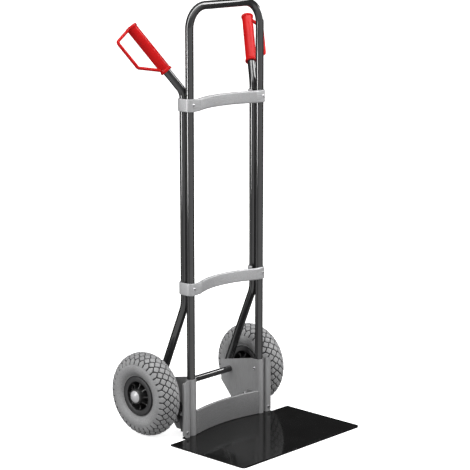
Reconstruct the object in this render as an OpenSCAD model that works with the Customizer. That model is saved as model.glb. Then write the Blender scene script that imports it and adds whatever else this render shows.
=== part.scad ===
// Two-wheeled hand truck: a bent tube hoop, two rear tubes with grips, aluminium
// crossbars and brackets, a steel toe plate and two pneumatic wheels on one axle.
// Millimetres, +Z up, X across the truck, the toe plate towards -Y, floor at Z = 0.

/* [Tubes] */
// Height of the hoop's top bar, at its centreline
hoop_h = 1310; // [1250:1:1360]
// Distance between the centrelines of the two uprights
upright_gap = 306; // [300:1:312]
// Outer diameter of every steel tube
tube_d = 25; // [24:0.1:25]
// Wall thickness of every steel tube
tube_wall = 2; // [1.5:0.1:2.5]
// Centreline radius of the hoop's two top corners
hoop_bend_r = 67; // [55:1:80]
// Gap between the front and the rear tube
tube_gap = 0.3; // [0.2:0.1:0.6]

/* [Rear tubes] */
// Height at which the rear tube turns back towards the axle
knee_h = 408; // [395:1:415]
// Lean of the lower leg from vertical, in degrees
knee_lean = 22.6; // [21:0.2:23]
// Centreline radius of the lower bend
knee_r = 100; // [80:1:110]
// Height of the rear tube's lower end
leg_end_h = 101; // [95:1:110]
// Height at which the rear tube turns out towards the grip
elbow_h = 1057; // [1057:1:1090]
// Centreline radius of the upper bend
elbow_r = 50; // [45:1:60]
// Lean of the handle from vertical, in degrees
handle_lean = 38.8; // [35:0.2:41]
// Direction of the handle seen from above, in degrees from sideways to backwards
handle_heading = 50; // [45:1:55]

/* [Grips] */
// Length of the red grip
grip_len = 171; // [160:1:180]
// Diameter of the red grip
grip_d = 33.5; // [32:0.5:35]
// Bare tube between the upper bend and the grip
grip_start = 60; // [50:1:66]
// Reach of the knuckle guard from the grip's axis
guard_reach = 78; // [72:1:84]
// Thickness of the knuckle guard's bow
guard_t = 9; // [8:0.5:10]
// Turn of the knuckle guard about the grip's axis, in degrees
guard_turn = -45; // [-50:1:-40]

/* [Crossbars] */
// Height of the lower crossbar's middle
lower_bar_h = 463; // [455:1:480]
// Height of the upper crossbar's middle
upper_bar_h = 1020; // [980:1:1020]
// Height of each crossbar's section
bar_height = 38; // [34:1:40]
// How far the crossbar's front bows back at mid-span
bar_bow = 32; // [26:1:34]
// Thickness of the bowed band
bar_band_t = 8; // [6:0.5:9]
// Thickness of the clips that wrap the tubes
clip_t = 4; // [3:0.5:4]

/* [Base] */
// Height of the two aluminium brackets' top
bracket_top = 182; // [178:1:190]
// Distance from the upright's centre to the bracket's outer edge
bracket_reach = 44; // [40:1:46]
// Wall thickness of the brackets
bracket_t = 2.8; // [2.5:0.1:3]
// Height of the cross panel's top edge
panel_top = 81; // [74:1:86]
// Thickness of the cross panel
panel_t = 8; // [6:0.5:9]
// How far the cross panel's front bows back
panel_bow = 20; // [16:1:22]
// Width of the toe plate
toe_w = 531.6; // [500:0.2:560]
// Reach of the toe plate in front of the uprights' centreline
toe_reach = 323.5; // [300:0.5:340]
// Distance from the toe plate's rear edge to the uprights' centreline
toe_back = 22.5; // [20:0.5:24]
// Thickness of the toe plate
toe_t = 5; // [4:0.5:6]
// Radius of the toe plate's front corners
toe_corner_r = 13; // [8:1:20]

/* [Wheels] */
// Diameter of the tyre
wheel_d = 260; // [256:1:262]
// Width of the tyre's section
tyre_w = 85; // [84:0.5:86]
// Distance between the two wheels' middle planes
wheel_gap = 474.6; // [472:0.2:480]
// Distance of the axle behind the uprights' centreline
axle_back = 112; // [110:0.5:113]
// Diameter of the axle
axle_d = 20; // [20:0.1:20]

/* [Hidden] */
$fn = 64;

left = -1;
right = 1;
eps = 0.01;
cut = 1;
gloss_black = [0.07, 0.07, 0.075];
aluminium = [0.62, 0.62, 0.64];
grip_red = [0.78, 0.10, 0.10];
tyre_grey = [0.55, 0.55, 0.56];
rim_black = [0.16, 0.16, 0.17];
zinc = [0.75, 0.75, 0.77];

// Places in the truck's own frame, whose origin is midway between front and back
tube_r = tube_d / 2;
upright_x = upright_gap / 2;
wheel_r = wheel_d / 2;
axle_z = wheel_r;
front_y = (toe_reach - axle_back - wheel_r) / 2;
rear_y = tube_d + tube_gap;
tube_foot_z = 8;

// Rear tube bends: tangent length is radius times the tangent of half the turn
knee_tan = knee_r * tan(knee_lean / 2);
elbow_tan = elbow_r * tan(handle_lean / 2);
leg_len = (knee_h - leg_end_h) / cos(knee_lean) - knee_tan;
handle_len = grip_start + grip_len - 8;
column_z0 = knee_h + knee_tan;
column_len = elbow_h - elbow_tan - column_z0;

// A straight tube laps this far into a bend, whose wall is this much fuller on each face
lap = 0.5;
swell = 0.05;

// Rivets: shank and head radius, head height, and the hollow left by the mandrel
rivet_r = 3.2;
rivet_head_r = 6;
rivet_head_h = 1.8;
rivet_core_r = 1.7;
rivet_clear = 0.1;

// Moves children to the uprights' centreline, the datum of every frame piece
module at_uprights() translate([0, front_y, 0]) children();

// Repeats children, made for the right-hand side, on both sides
module both_sides() {
    children();
    mirror([1, 0, 0]) children();
}

// Puts children, made for the right-hand side, on the named side
module on_side(side) if (side == right) children(); else mirror([1, 0, 0]) children();

// ---------- Tubes ----------

module tube_ring(extra) difference() {
    circle(r = tube_r + extra);
    circle(r = tube_r - tube_wall - extra);
}

// Straight tube along +Z from the origin, reaching a lap further at each end that asks for it
module tube_run(length, lap_start = 0, lap_end = 0) translate([0, 0, -lap_start])
    linear_extrude(length + lap_start + lap_end) tube_ring(0);

// Bend that leaves the origin along +Z and turns towards +X
module tube_bend(radius, angle, extra = 0)
    translate([radius, 0, 0]) mirror([1, 0, 0]) rotate([90, 0, 0])
        rotate_extrude(angle = angle) translate([radius, 0]) tube_ring(extra);

// Moves children to the end of such a bend
module after_bend(radius, angle)
    translate([radius * (1 - cos(angle)), 0, radius * sin(angle)])
        rotate([0, angle, 0]) children();

// Radial hole through the tube wall, entered along +Y at height z
module front_rivet_hole(z) translate([upright_x, -tube_r - cut, z]) rotate([-90, 0, 0])
    cylinder(r = rivet_r + rivet_clear, h = tube_wall + 2 * cut);

module hoop_frame() color(gloss_black) at_uprights() difference() {
    union() {
        both_sides() translate([upright_x, 0, 0]) {
            translate([0, 0, tube_foot_z]) tube_run(hoop_h - hoop_bend_r - tube_foot_z);
            translate([0, 0, hoop_h - hoop_bend_r]) rotate([0, 0, 180]) tube_bend(hoop_bend_r, 90);
        }
        translate([-upright_x + hoop_bend_r, 0, hoop_h]) rotate([0, 90, 0])
            tube_run(2 * (upright_x - hoop_bend_r));
    }
    both_sides() for (z = [lower_bar_h, upper_bar_h]) front_rivet_hole(z);
    both_sides() for (z = bracket_rivet_z)
        translate([upright_x - tube_r - cut, bracket_rivet_y, z]) rotate([0, 90, 0])
            cylinder(r = rivet_r + rivet_clear, h = tube_r);
}

// Moves children to the end of the lower bend, +Z pointing down the leg
module at_leg()
    translate([upright_x, rear_y, column_z0]) mirror([0, 0, 1]) rotate([0, 0, 90])
        after_bend(knee_r, knee_lean) children();

// Moves children to the end of the upper bend, +Z pointing along the handle
module at_handle()
    translate([upright_x, rear_y, column_z0 + column_len]) rotate([0, 0, handle_heading])
        after_bend(elbow_r, handle_lean) children();

module rear_tube(side) color(gloss_black) at_uprights() on_side(side) difference() {
    union() {
        at_leg() tube_run(leg_len, lap_start = lap);
        translate([upright_x, rear_y, column_z0]) {
            mirror([0, 0, 1]) rotate([0, 0, 90]) tube_bend(knee_r, knee_lean, swell);
            tube_run(column_len, lap_start = lap, lap_end = lap);
            translate([0, 0, column_len]) rotate([0, 0, handle_heading])
                tube_bend(elbow_r, handle_lean, swell);
        }
        at_handle() tube_run(handle_len, lap_start = lap);
    }
    for (z = [lower_bar_h, upper_bar_h])
        translate([upright_x, rear_y + tube_r - tube_wall - cut, z]) rotate([-90, 0, 0])
            cylinder(r = rivet_r + rivet_clear, h = tube_wall + 2 * cut);
}
module rear_tube_left() rear_tube(left);
module rear_tube_right() rear_tube(right);

plug_head_t = 2;
plug_len = 15;
// Plug for an open tube end, with its head below the origin
module tube_plug() {
    translate([0, 0, -plug_head_t]) cylinder(r = tube_r - 0.2, h = plug_head_t);
    cylinder(r = tube_r - tube_wall - 0.1, h = plug_len);
}
module hoop_foot_plugs() color(rim_black) at_uprights() both_sides()
    translate([upright_x, 0, tube_foot_z]) tube_plug();
module rear_tube_plugs() color(rim_black) at_uprights() both_sides()
    at_leg() translate([0, 0, leg_len]) mirror([0, 0, 1]) tube_plug();

// ---------- Grips ----------

collar_r = grip_d / 2 + 2.2;
collar_w = 7;
grip_bore_r = tube_r + 0.1;
guard_w = 10;
guard_low = 60;
guard_high = 162;
guard_corner_r = 11;
guard_root = 5;

// Bow of the knuckle guard, drawn with the grip's axis along +Y and the guard towards +X
module guard_outline() {
    bow = [[guard_root, 0], [guard_reach, guard_low], [guard_reach, guard_high], [guard_root, grip_len]];
    difference() {
        offset(r = guard_corner_r) offset(delta = -guard_corner_r) polygon(bow);
        offset(r = guard_t / 2) offset(delta = -1.5 * guard_t) polygon(bow);
    }
}

module grip_body() {
    cylinder(d = grip_d, h = grip_len - 2);
    cylinder(r = collar_r, h = collar_w);
    translate([0, 0, grip_len - collar_w - 2]) cylinder(r = collar_r, h = collar_w);
    translate([0, 0, grip_len - 2]) cylinder(r = grip_d / 2 - 2, h = 2);
}

module grip(side) color(grip_red) at_uprights() on_side(side) at_handle()
    translate([0, 0, grip_start]) difference() {
        union() {
            grip_body();
            rotate([0, 0, guard_turn]) rotate([90, 0, 0])
                translate([0, 0, -guard_w / 2]) linear_extrude(guard_w) guard_outline();
        }
        translate([0, 0, -cut]) cylinder(r = grip_bore_r, h = grip_len - 8 + cut + 0.3);
    }
module grip_left() grip(left);
module grip_right() grip(right);

// ---------- Crossbars ----------

// Rectangle from (x0, y0) to (x1, y1) with true round corners
module round_rect(x0, y0, x1, y1, r) {
    translate([x0 + r, y0]) square([x1 - x0 - 2 * r, y1 - y0]);
    translate([x0, y0 + r]) square([x1 - x0, y1 - y0 - 2 * r]);
    for (x = [x0 + r, x1 - r], y = [y0 + r, y1 - r]) translate([x, y]) circle(r);
}

clip_play = 0.2;
clip_front = -tube_r - clip_play - clip_t;
clip_back = rear_y + tube_r + clip_play + clip_t;
clip_in = upright_x - tube_r - clip_play - clip_t;
clip_out = upright_x + tube_r + clip_play + clip_t;
clip_tab_y = rear_y - 9;
bar_crease_x = upright_x - 29;
bar_band_r = (bar_crease_x * bar_crease_x + bar_bow * bar_bow) / (2 * bar_bow);

// Clip that wraps the front and rear tube of the right-hand side, seen from above
module clip_plan() difference() {
    union() {
        round_rect(clip_in, clip_front, clip_out, clip_back, tube_r + clip_t);
        translate([bar_crease_x - 4, clip_front])
            square([clip_in - bar_crease_x + tube_r + clip_t + 4, bar_band_t]);
    }
    round_rect(clip_in + clip_t, clip_front + clip_t, clip_out - clip_t, clip_back - clip_t, tube_r);
    translate([clip_in - cut, clip_front + bar_band_t])
        square([clip_t + tube_r + cut, clip_tab_y - clip_front - bar_band_t]);
}

// Band between the clips, an arc that bows back
module band_plan() intersection() {
    translate([0, clip_front + bar_bow - bar_band_r]) difference() {
        circle(bar_band_r + bar_band_t, $fn = 256);
        circle(bar_band_r, $fn = 256);
    }
    translate([-bar_crease_x, clip_front - cut]) square([2 * bar_crease_x, bar_bow + bar_band_t + 2 * cut]);
}

module crossbar(z) color(aluminium) at_uprights() translate([0, 0, z - bar_height / 2]) difference() {
    linear_extrude(bar_height) {
        both_sides() clip_plan();
        band_plan();
    }
    both_sides() for (y = [clip_front, clip_back - clip_t])
        translate([upright_x, y - cut, bar_height / 2]) rotate([-90, 0, 0])
            cylinder(r = rivet_r + rivet_clear, h = clip_t + 2 * cut);
}
module upper_crossbar() crossbar(upper_bar_h);
module lower_crossbar() crossbar(lower_bar_h);

// Blind rivet whose head sits at the origin, shank along +Z
module rivet(grip_length) difference() {
    union() {
        cylinder(r = rivet_r, h = grip_length);
        translate([0, 0, -rivet_head_h]) cylinder(r1 = rivet_head_r - 2, r2 = rivet_head_r, h = rivet_head_h);
    }
    translate([0, 0, -rivet_head_h - cut]) cylinder(r = rivet_core_r, h = rivet_head_h + 3 + cut);
}
bar_rivet_len = clip_t + clip_play + tube_wall + 1;
module crossbar_rivets(z) color(zinc) at_uprights() both_sides() translate([upright_x, 0, z]) {
    translate([0, clip_front, 0]) rotate([-90, 0, 0]) rivet(bar_rivet_len);
    translate([0, clip_back, 0]) rotate([90, 0, 0]) rivet(bar_rivet_len);
}
module upper_crossbar_rivets() crossbar_rivets(upper_bar_h);
module lower_crossbar_rivets() crossbar_rivets(lower_bar_h);

// ---------- Base ----------

wrap_in_r = tube_r + 0.2;
wrap_out_r = wrap_in_r + bracket_t;
plate_in = upright_x - wrap_out_r;
tongue_t = toe_t - 0.2;
plate_out = upright_x - wrap_in_r;
wrap_gap = 3.2;
flange_in = upright_x + wrap_out_r + wrap_gap;
flange_out = upright_x + bracket_reach;
flange_r = 6;
flange_lip_y = -6;
bracket_rivet_y = 6;
bracket_rivet_z = [60, 151];
toe_rivet_x = (flange_in + flange_out) / 2;
toe_rivet_z = 19;
tab_t = 3;
axle_r = axle_d / 2;
axle_clear = 0.1;

// Side plate, wrap round the upright and hollow outer flange, seen from above
module bracket_plan() {
    difference() {
        translate([upright_x, 0]) circle(wrap_out_r);
        translate([upright_x, 0]) circle(wrap_in_r);
        translate([upright_x - 2 * wrap_out_r, 0]) square([4 * wrap_out_r, 2 * wrap_out_r]);
    }
    translate([plate_in, 0]) square([bracket_t, plate_reach]);
    translate([upright_x + wrap_in_r, 0]) square([flange_in + bracket_t - upright_x - wrap_in_r, bracket_t]);
    difference() {
        round_rect(flange_in, -wrap_out_r, flange_out, 20, flange_r);
        round_rect(flange_in + bracket_t, -wrap_out_r + bracket_t, flange_out - bracket_t, 30, flange_r - bracket_t);
        translate([flange_in - cut, bracket_t]) square([2 * bracket_t, 30]);
        translate([flange_out - 2 * bracket_t, flange_lip_y]) square([4 * bracket_t, 30]);
        translate([flange_in, 10]) square([bracket_reach, 30]);
    }
}

// Front elevation of the bracket, with its outer corners taken off
bracket_corner_r = 11;
bracket_foot_cut = 7;
module bracket_front() {
    corner_x = flange_out - bracket_corner_r;
    corner_z = bracket_top - bracket_corner_r;
    difference() {
        translate([plate_in - cut, tongue_t]) square([flange_out - plate_in + 2 * cut, bracket_top - tongue_t + cut]);
        translate([plate_in - 2 * cut, bracket_top]) square([flange_out, 2 * cut]);
        difference() {
            translate([corner_x, corner_z]) square(2 * bracket_corner_r);
            translate([corner_x, corner_z]) circle(bracket_corner_r);
        }
        translate([flange_out, tongue_t]) rotate(45) square(bracket_foot_cut * sqrt(2), center = true);
    }
}

// What is cut away above and below the side plate: distance behind the uprights and height
plate_reach = 150;
plate_top_back = 154;
plate_low_back = 88;
plate_low_front = 76;
module side_plate_waste() {
    polygon([[20, bracket_top], [plate_reach + cut, plate_top_back], [plate_reach + cut, bracket_top + cut],
        [20, bracket_top + cut]]);
    polygon([[plate_low_front, tongue_t - cut], [plate_low_front, tongue_t], [100, 32],
        [plate_reach + cut, plate_low_back], [plate_reach + cut, tongue_t - cut]]);
}

module bracket(side) color(aluminium) at_uprights() on_side(side) difference() {
    intersection() {
        linear_extrude(bracket_top + cut) bracket_plan();
        translate([0, plate_reach + cut, 0]) rotate([90, 0, 0])
            linear_extrude(plate_reach + 30) bracket_front();
    }
    translate([plate_in - cut, 0, 0]) rotate([90, 0, 90])
        linear_extrude(bracket_t + 2 * cut) side_plate_waste();
    translate([0, axle_back, axle_z]) rotate([0, 90, 0])
        cylinder(r = axle_r + axle_clear, h = upright_x);
    for (z = bracket_rivet_z) translate([plate_in - cut, bracket_rivet_y, z]) rotate([0, 90, 0])
        cylinder(r = rivet_r + rivet_clear, h = bracket_t + 2 * cut);
    for (p = cheek_bolt_at) translate([plate_in - cut, p[0], p[1]]) rotate([0, 90, 0])
        cylinder(r = bolt_r + bolt_clear, h = bracket_t + 2 * cut);
    translate([plate_in - cut, panel_rivet_y, panel_rivet_z]) rotate([0, 90, 0])
        cylinder(r = rivet_r + rivet_clear, h = bracket_t + 2 * cut);
    translate([toe_rivet_x, -wrap_out_r - cut, toe_rivet_z]) rotate([-90, 0, 0])
        cylinder(r = rivet_r + rivet_clear, h = bracket_t + 2 * cut);
}
module bracket_left() bracket(left);
module bracket_right() bracket(right);

module bracket_rivets() color(zinc) at_uprights() both_sides()
    for (z = bracket_rivet_z) translate([plate_in, bracket_rivet_y, z]) rotate([0, 90, 0]) rivet(10);

panel_rivet_y = 22;
panel_rivet_z = 45;
panel_half = upright_x - 11;
panel_r = (panel_half * panel_half + panel_bow * panel_bow) / (2 * panel_bow);
panel_front = -wrap_out_r;
panel_flange_t = 3;
panel_flange_x = plate_in - 0.2 - panel_flange_t;
panel_flange_y = 34;
panel_flange_start = -7;

// Bowed panel between the brackets, coped to fit round their wraps, seen from above
module panel_plan() difference() {
    intersection() {
        translate([0, panel_front + panel_bow - panel_r]) difference() {
            circle(panel_r + panel_t, $fn = 256);
            circle(panel_r, $fn = 256);
        }
        translate([-panel_half, panel_front - cut]) square([2 * panel_half, panel_bow + panel_t + 2 * cut]);
    }
    both_sides() translate([upright_x, 0]) circle(wrap_out_r + 0.2);
}

// The panel, with an end flange turned back along each side plate
module cross_panel() color(aluminium) at_uprights() difference() {
    union() {
        translate([0, 0, tongue_t]) linear_extrude(panel_top - tongue_t) panel_plan();
        both_sides() translate([panel_flange_x, panel_flange_start, tongue_t])
            cube([panel_flange_t, panel_flange_y - panel_flange_start, panel_top - tongue_t - 3]);
    }
    both_sides() translate([panel_flange_x - cut, panel_rivet_y, panel_rivet_z]) rotate([0, 90, 0])
        cylinder(r = rivet_r + rivet_clear, h = panel_flange_t + 2 * cut);
    both_sides() translate([panel_flange_x - cut, bracket_rivet_y, bracket_rivet_z[0]]) rotate([0, 90, 0])
        cylinder(r = rivet_head_r + 0.5, h = panel_flange_t + 2 * cut);
}
module cross_panel_rivets() color(zinc) at_uprights() both_sides()
    translate([panel_flange_x, panel_rivet_y, panel_rivet_z]) rotate([0, 90, 0])
        rivet(panel_flange_t + bracket_t + 0.2);

// Steel plate: the load bed, a slightly lower tongue under the uprights and two upturned tabs
cheek_t = 5;
cheek_in = plate_out + 0.2;
tongue_back = 54;
toe_tab_y = -wrap_out_r + bracket_t + 0.2;
toe_tab_h = 34;
toe_tab_half = 7.5;
foot_strip_half = toe_rivet_x + toe_tab_half;
module load_bed_plan() difference() {
    round_rect(-toe_w / 2, -toe_reach, toe_w / 2, -toe_back + 2 * toe_corner_r, toe_corner_r);
    translate([-toe_w, -toe_back]) square([2 * toe_w, 3 * toe_corner_r]);
}
module toe_plate() color(gloss_black) at_uprights() difference() {
    union() {
        linear_extrude(toe_t) load_bed_plan();
        translate([-cheek_in - cheek_t, -toe_back - 2, 0])
            cube([2 * (cheek_in + cheek_t), tongue_back + toe_back + 2, tongue_t]);
        translate([-foot_strip_half, -toe_back - 2, 0])
            cube([2 * foot_strip_half, toe_back + 2, tongue_t]);
        both_sides() translate([toe_rivet_x - toe_tab_half, toe_tab_y, 0])
            cube([2 * toe_tab_half, tab_t, toe_tab_h]);
    }
    both_sides() translate([toe_rivet_x, toe_tab_y - cut, toe_rivet_z]) rotate([-90, 0, 0])
        cylinder(r = rivet_r + rivet_clear, h = tab_t + 2 * cut);
}
module toe_plate_rivets() color(zinc) at_uprights() both_sides()
    translate([toe_rivet_x, -wrap_out_r, toe_rivet_z]) rotate([-90, 0, 0]) rivet(bracket_t + tab_t + 1);

// Steel cheek that ties the toe plate to the axle, outside the aluminium side plate
bolt_r = 4;
bolt_clear = 0.2;
cheek_bolt_at = [[46, 60], [68, 37]];
cheek_eye_r = 15;
module cheek_outline() {
    hull() {
        translate([axle_back, axle_z]) circle(cheek_eye_r, $fn = 32);
        translate([46, 60]) circle(15, $fn = 32);
        translate([72, 35]) circle(11, $fn = 32);
    }
    polygon([[15, tongue_t], [tongue_back, tongue_t], [tongue_back + 4, 30], [44, 73], [15, 50]]);
}
module toe_plate_cheek(side) color(gloss_black) at_uprights() on_side(side) difference() {
    translate([cheek_in, 0, 0]) rotate([90, 0, 90]) linear_extrude(cheek_t) cheek_outline();
    translate([cheek_in - cut, axle_back, axle_z]) rotate([0, 90, 0])
        cylinder(r = axle_r + axle_clear, h = cheek_t + 2 * cut);
    for (p = cheek_bolt_at) translate([cheek_in - cut, p[0], p[1]]) rotate([0, 90, 0])
        cylinder(r = bolt_r + bolt_clear, h = cheek_t + 2 * cut);
    translate([cheek_in - cut, panel_rivet_y, panel_rivet_z]) rotate([0, 90, 0])
        cylinder(r = rivet_r + 1, h = cheek_t + 2 * cut);
}
module toe_plate_cheek_left() toe_plate_cheek(left);
module toe_plate_cheek_right() toe_plate_cheek(right);

bolt_head_h = 3;
nut_h = 6.5;
nut_r = 7.5;
module cheek_bolts() color(zinc) at_uprights() both_sides() for (p = cheek_bolt_at)
    translate([plate_in, p[0], p[1]]) rotate([0, 90, 0]) {
        translate([0, 0, -bolt_head_h]) cylinder(r1 = 4.5, r2 = 7, h = bolt_head_h);
        cylinder(r = bolt_r, h = bracket_t + 0.2 + cheek_t + nut_h + 3);
    }
module cheek_nuts() color(zinc) at_uprights() both_sides() for (p = cheek_bolt_at)
    translate([cheek_in + cheek_t, p[0], p[1]]) rotate([0, 90, 0]) difference() {
        cylinder(r = nut_r, h = nut_h, $fn = 6);
        translate([0, 0, -cut]) cylinder(r = bolt_r + 0.05, h = nut_h + 2 * cut);
    }

// ---------- Axle ----------

wheel_x = wheel_gap / 2;
bearing_w = 7;
bearing_r = 16;
bearing_end = 33.5;
thrust_gap = 0.3;
washer_t = 2;
clip_w = 1.5;
axle_end = bearing_end + 6.5;
axle_bore_r = axle_r + axle_clear;

// Moves children, with +Z pointing outwards along the axle, to the wheel's middle plane
module at_wheel(side) at_uprights()
    translate([side * wheel_x, axle_back, axle_z]) rotate([0, side * 90, 0]) children();

module sleeve(r_in, r_out, z0, z1) translate([0, 0, z0]) linear_extrude(z1 - z0) difference() {
    circle(r_out);
    circle(r_in);
}

module axle() color(gloss_black) at_uprights()
    translate([-wheel_x - axle_end, axle_back, axle_z]) rotate([0, 90, 0])
        cylinder(r = axle_r, h = 2 * (wheel_x + axle_end));

module axle_spacer(side) color(gloss_black) at_wheel(side)
    sleeve(axle_bore_r, 13, cheek_in + cheek_t + 0.1 - wheel_x, -bearing_end - thrust_gap);
module axle_spacer_left() axle_spacer(left);
module axle_spacer_right() axle_spacer(right);

module axle_washer(side) color(zinc) at_wheel(side)
    sleeve(axle_bore_r, 15.5, bearing_end + thrust_gap, bearing_end + thrust_gap + washer_t);
module axle_washer_left() axle_washer(left);
module axle_washer_right() axle_washer(right);

module axle_clip(side) color(zinc) at_wheel(side)
    sleeve(axle_r, 14, bearing_end + thrust_gap + washer_t, bearing_end + thrust_gap + washer_t + clip_w);
module axle_clip_left() axle_clip(left);
module axle_clip_right() axle_clip(right);

// ---------- Wheels ----------

tyre_sec_r = tyre_w / 2;
tyre_ring_r = wheel_r - tyre_sec_r;
tyre_wall = 6;
seat_r = 57.5;
seat_half = 31;
lip_r = 62.5;
lip_half = 34;
well_r = 49;
well_half = 10;
slope_half = 17;
hub_r = 23;
hub_half = 37.5;
cap_seat_end = 46;
hub_bore_r = 13;
cap_seat_r = 18.5;
web_t = 4;
drum_r = 44.5;
face_z = 35;
rib_count = 8;
rib_t = 4;
rib_top = 24;
rim_bolt_count = 4;
rim_bolt_ring = 34;
rim_bolt_r = 3;
rim_bolt_turn = 22.5;

// Tyre carcass: a round section opened towards the rim, seated between the rim's lips
module tyre(side) color(tyre_grey) at_wheel(side) rotate_extrude($fn = 128) difference() {
    translate([tyre_ring_r, 0]) circle(tyre_sec_r);
    translate([tyre_ring_r, 0]) circle(tyre_sec_r - tyre_wall);
    translate([0, -tyre_w]) square([seat_r + 0.1, 2 * tyre_w]);
    for (z = [seat_half - 0.1, -seat_half + 0.1 - tyre_w])
        translate([0, z]) square([lip_r + 0.4, tyre_w]);
}
module tyre_left() tyre(left);
module tyre_right() tyre(right);

// Inner tube: fills the tyre and reaches down into the rim's well
module inner_tube_section(shrink) difference() {
    translate([tyre_ring_r, 0]) circle(tyre_sec_r - tyre_wall - 0.3 - shrink);
    for (z = [well_half - 1 - shrink, -well_half + 1 + shrink - tyre_w])
        translate([0, z]) square([seat_r + 0.4 + shrink, tyre_w]);
    translate([0, -tyre_w]) square([well_r + 1 + shrink, 2 * tyre_w]);
}
module inner_tube(side) color(rim_black) at_wheel(side) rotate_extrude($fn = 128) difference() {
    inner_tube_section(0);
    inner_tube_section(2);
}
module inner_tube_left() inner_tube(left);
module inner_tube_right() inner_tube(right);

// Half of the two-piece rim, from the split plane outwards along +Z to the end of its hub
module rim_half_profile(hub_end) polygon([
    [hub_bore_r, 0], [well_r, 0], [well_r, well_half], [seat_r, slope_half], [seat_r, seat_half],
    [lip_r, seat_half + 0.5], [lip_r - 0.5, lip_half], [lip_r - 3, face_z], [drum_r + 1, face_z],
    [drum_r, face_z - 1], [drum_r, web_t], [hub_r, web_t], [hub_r, hub_end], [cap_seat_r, hub_end],
    [cap_seat_r, bearing_end], [bearing_r, bearing_end], [bearing_r, bearing_end - bearing_w],
    [hub_bore_r, bearing_end - bearing_w]
]);
module rim_bolt_places() for (i = [0:rim_bolt_count - 1])
    rotate([0, 0, rim_bolt_turn + i * 360 / rim_bolt_count]) translate([rim_bolt_ring, 0, 0]) children();
module rim_half(hub_end) difference() {
    union() {
        rotate_extrude($fn = 128) rim_half_profile(hub_end);
        for (i = [0:rib_count - 1]) rotate([0, 0, i * 360 / rib_count])
            translate([hub_r - 1, -rib_t / 2, web_t - eps]) cube([drum_r - hub_r + 2, rib_t, rib_top - web_t]);
    }
    rim_bolt_places() translate([0, 0, -cut]) cylinder(r = rim_bolt_r + 0.2, h = web_t + 2 * cut);
}

// Moves children to the valve hole, +Z pointing along the stem out of the rim
valve_turn = 67.5;
valve_from = 55;
valve_rise = 6;
valve_lean = 48;
module at_valve() rotate([0, 0, valve_turn]) translate([valve_from, 0, valve_rise])
    rotate([0, -valve_lean, 0]) children();

module rim_outer(side) color(rim_black) at_wheel(side) difference() {
    rim_half(cap_seat_end);
    at_valve() translate([0, 0, -2]) cylinder(r = 4.2, h = 30);
}
module rim_outer_left() rim_outer(left);
module rim_outer_right() rim_outer(right);
module rim_inner(side) color(rim_black) at_wheel(side) mirror([0, 0, 1]) rim_half(hub_half);
module rim_inner_left() rim_inner(left);
module rim_inner_right() rim_inner(right);

module rim_bolts(side) color(zinc) at_wheel(side) rim_bolt_places() {
    translate([0, 0, web_t]) cylinder(r = 5.5, h = 4, $fn = 6);
    translate([0, 0, -web_t - 7]) cylinder(r = rim_bolt_r, h = 2 * web_t + 7 + eps);
}
module rim_bolts_left() rim_bolts(left);
module rim_bolts_right() rim_bolts(right);
module rim_nuts(side) color(zinc) at_wheel(side) rim_bolt_places()
    translate([0, 0, -web_t - 5]) difference() {
        cylinder(r = 5.5, h = 5, $fn = 6);
        translate([0, 0, -cut]) cylinder(r = rim_bolt_r + 0.05, h = 5 + 2 * cut);
    }
module rim_nuts_left() rim_nuts(left);
module rim_nuts_right() rim_nuts(right);

// Sealed ball bearing, bored to run on the axle
bearing_play = 0.05;
module bearing(z0) sleeve(axle_r + bearing_play, bearing_r - 0.02, z0, z0 + bearing_w);
module bearing_outer(side) color(zinc) at_wheel(side) bearing(bearing_end - bearing_w);
module bearing_outer_left() bearing_outer(left);
module bearing_outer_right() bearing_outer(right);
module bearing_inner(side) color(zinc) at_wheel(side) bearing(-bearing_end);
module bearing_inner_left() bearing_inner(left);
module bearing_inner_right() bearing_inner(right);

// Domed cap pressed into the hub's mouth, over the axle's end
cap_top = 53;
cap_side = cap_seat_end + 0.5;
cap_rise = cap_top - cap_side;
cap_r = cap_seat_r - 0.05;
cap_dome_r = (cap_r * cap_r + cap_rise * cap_rise) / (2 * cap_rise);
cap_wall = 1.4;
module hub_cap(side) color(zinc) at_wheel(side) rotate_extrude() difference() {
    intersection() {
        translate([0, cap_top - cap_dome_r]) circle(cap_dome_r, $fn = 128);
        translate([0, bearing_end + 0.1]) square([cap_r, cap_top]);
    }
    intersection() {
        translate([0, cap_top - cap_dome_r]) circle(cap_dome_r - cap_wall, $fn = 128);
        translate([-1, 0]) square([cap_r - cap_wall + 1, cap_top]);
    }
}
module hub_cap_left() hub_cap(left);
module hub_cap_right() hub_cap(right);

module valve(side) color(rim_black) at_wheel(side) at_valve() {
    translate([0, 0, 1]) cylinder(r = 4, h = 15);
    translate([0, 0, 15]) cylinder(r = 3.2, h = 12);
}
module valve_left() valve(left);
module valve_right() valve(right);

hoop_frame();
rear_tube_left();
rear_tube_right();
hoop_foot_plugs();
rear_tube_plugs();
upper_crossbar();
lower_crossbar();
upper_crossbar_rivets();
lower_crossbar_rivets();
bracket_left();
bracket_right();
bracket_rivets();
cross_panel();
cross_panel_rivets();
toe_plate();
toe_plate_cheek_left();
toe_plate_cheek_right();
toe_plate_rivets();
cheek_bolts();
cheek_nuts();
grip_left();
grip_right();
axle();
axle_spacer_left();
axle_spacer_right();
axle_washer_left();
axle_washer_right();
axle_clip_left();
axle_clip_right();
tyre_left();
tyre_right();
inner_tube_left();
inner_tube_right();
rim_outer_left();
rim_outer_right();
rim_inner_left();
rim_inner_right();
rim_bolts_left();
rim_bolts_right();
rim_nuts_left();
rim_nuts_right();
bearing_outer_left();
bearing_outer_right();
bearing_inner_left();
bearing_inner_right();
hub_cap_left();
hub_cap_right();
valve_left();
valve_right();
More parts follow.
